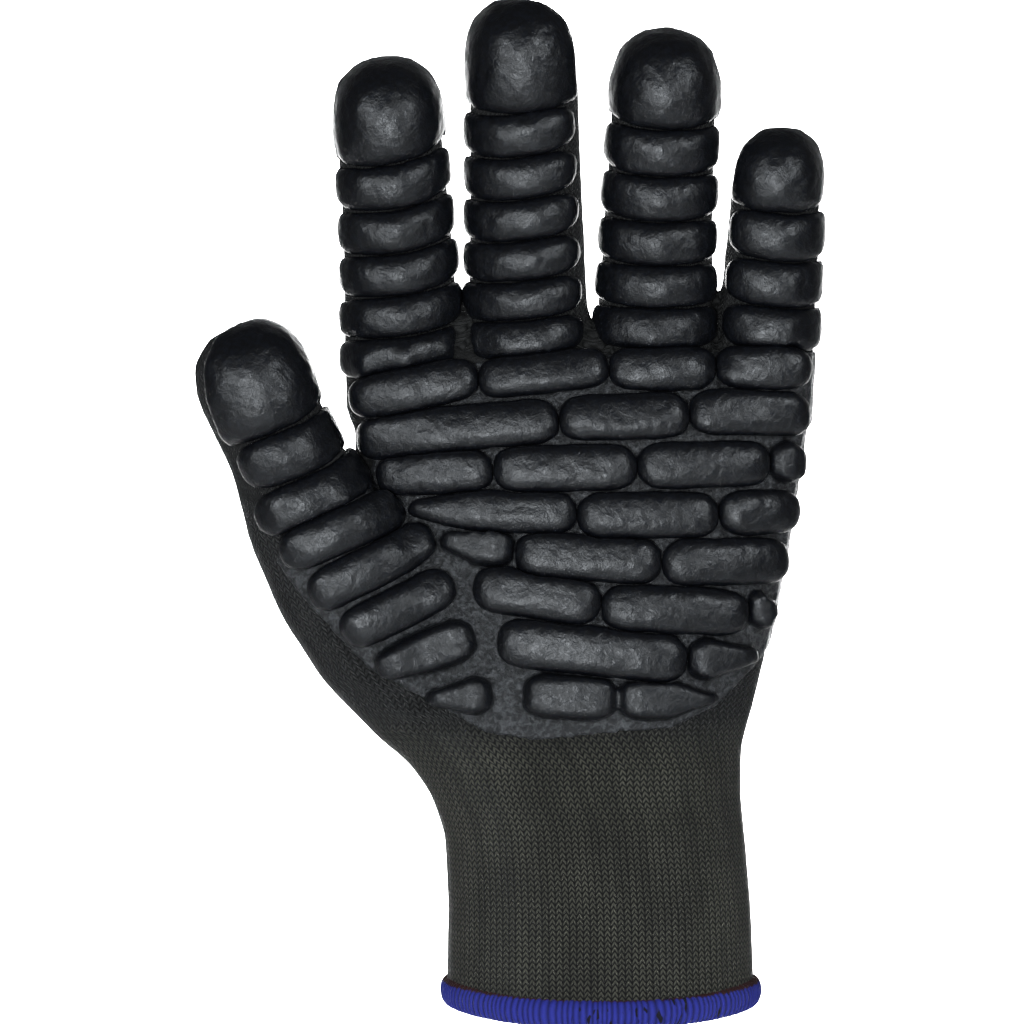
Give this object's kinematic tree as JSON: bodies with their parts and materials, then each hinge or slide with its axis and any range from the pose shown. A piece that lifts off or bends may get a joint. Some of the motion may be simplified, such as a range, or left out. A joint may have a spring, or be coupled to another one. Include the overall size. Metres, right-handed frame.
{
  "type": "anti vibration glove",
  "caption": "Left-hand knitted work glove with thick soft rubber pads on the palm, half-ring ribs and domed tip pads on the fingers and thumb, and a rolled overlocked hem at its cuff.",
  "frame": {"origin": "centre of the wrist opening, level with the lower edge of the hem; the hand goes in here, and the arm holds the glove up", "axes": "+Z from the wrist to the fingertips, -Y out of the palm, +Y out of the back of the hand, -X towards the thumb"},
  "size_m": [0.1553, 0.061, 0.2503],
  "materials": {
    "knit": "plain knitted yarn, dark olive brown grey, almost black on the hand",
    "hem_yarn": "overlocked royal blue yarn",
    "rubber_pad": "soft black foamed rubber with a fine wrinkled skin, satin",
    "rubber_film": "thin black rubber coat, crinkled and glossier than the pads"
  },
  "bodies": {
    "root": {"knit_index": "knit", "knit_middle": "knit", "knit_ring": "knit", "knit_little": "knit", "knit_thumb": "knit", "knit_cuff": "knit", "knit_ball": "knit", "knit_palm": "knit", "knit_palm_back": "knit", "knit_knuckles": "knit", "knit_knuckles_back": "knit", "cuff_hem": "hem_yarn", "palm_bar_1_1": "rubber_pad", "palm_bar_1_2": "rubber_pad", "palm_bar_1_3": "rubber_pad", "palm_bar_1_4": "rubber_pad", "palm_bar_2_1": "rubber_pad", "palm_bar_2_2": "rubber_pad", "palm_bar_2_3": "rubber_pad", "palm_bar_3_1": "rubber_pad", "palm_bar_3_2": "rubber_pad", "palm_bar_3_3": "rubber_pad", "palm_bar_4_1": "rubber_pad", "palm_bar_4_2": "rubber_pad", "palm_bar_4_3": "rubber_pad", "palm_bar_5_2": "rubber_pad", "palm_bar_5_3": "rubber_pad", "palm_bar_6_1": "rubber_pad", "palm_bar_6_2": "rubber_pad", "palm_bar_7_1": "rubber_pad", "thumb_rib_3": "rubber_pad", "thumb_rib_4": "rubber_pad", "thumb_rib_5": "rubber_pad", "palm_film": "rubber_film", "tip_pad_index": "rubber_pad", "index_rib_1": "rubber_pad", "index_rib_2": "rubber_pad", "index_rib_3": "rubber_pad", "index_rib_4": "rubber_pad", "index_rib_5": "rubber_pad", "tip_pad_middle": "rubber_pad", "middle_rib_1": "rubber_pad", "middle_rib_2": "rubber_pad", "middle_rib_3": "rubber_pad", "middle_rib_4": "rubber_pad", "middle_rib_5": "rubber_pad", "middle_rib_6": "rubber_pad", "tip_pad_ring": "rubber_pad", "ring_rib_1": "rubber_pad", "ring_rib_2": "rubber_pad", "ring_rib_3": "rubber_pad", "ring_rib_4": "rubber_pad", "ring_rib_5": "rubber_pad", "tip_pad_little": "rubber_pad", "little_rib_1": "rubber_pad", "little_rib_2": "rubber_pad", "little_rib_3": "rubber_pad", "tip_pad_thumb": "rubber_pad", "thumb_rib_1": "rubber_pad", "thumb_rib_2": "rubber_pad"}
  },
  "joints": []
}
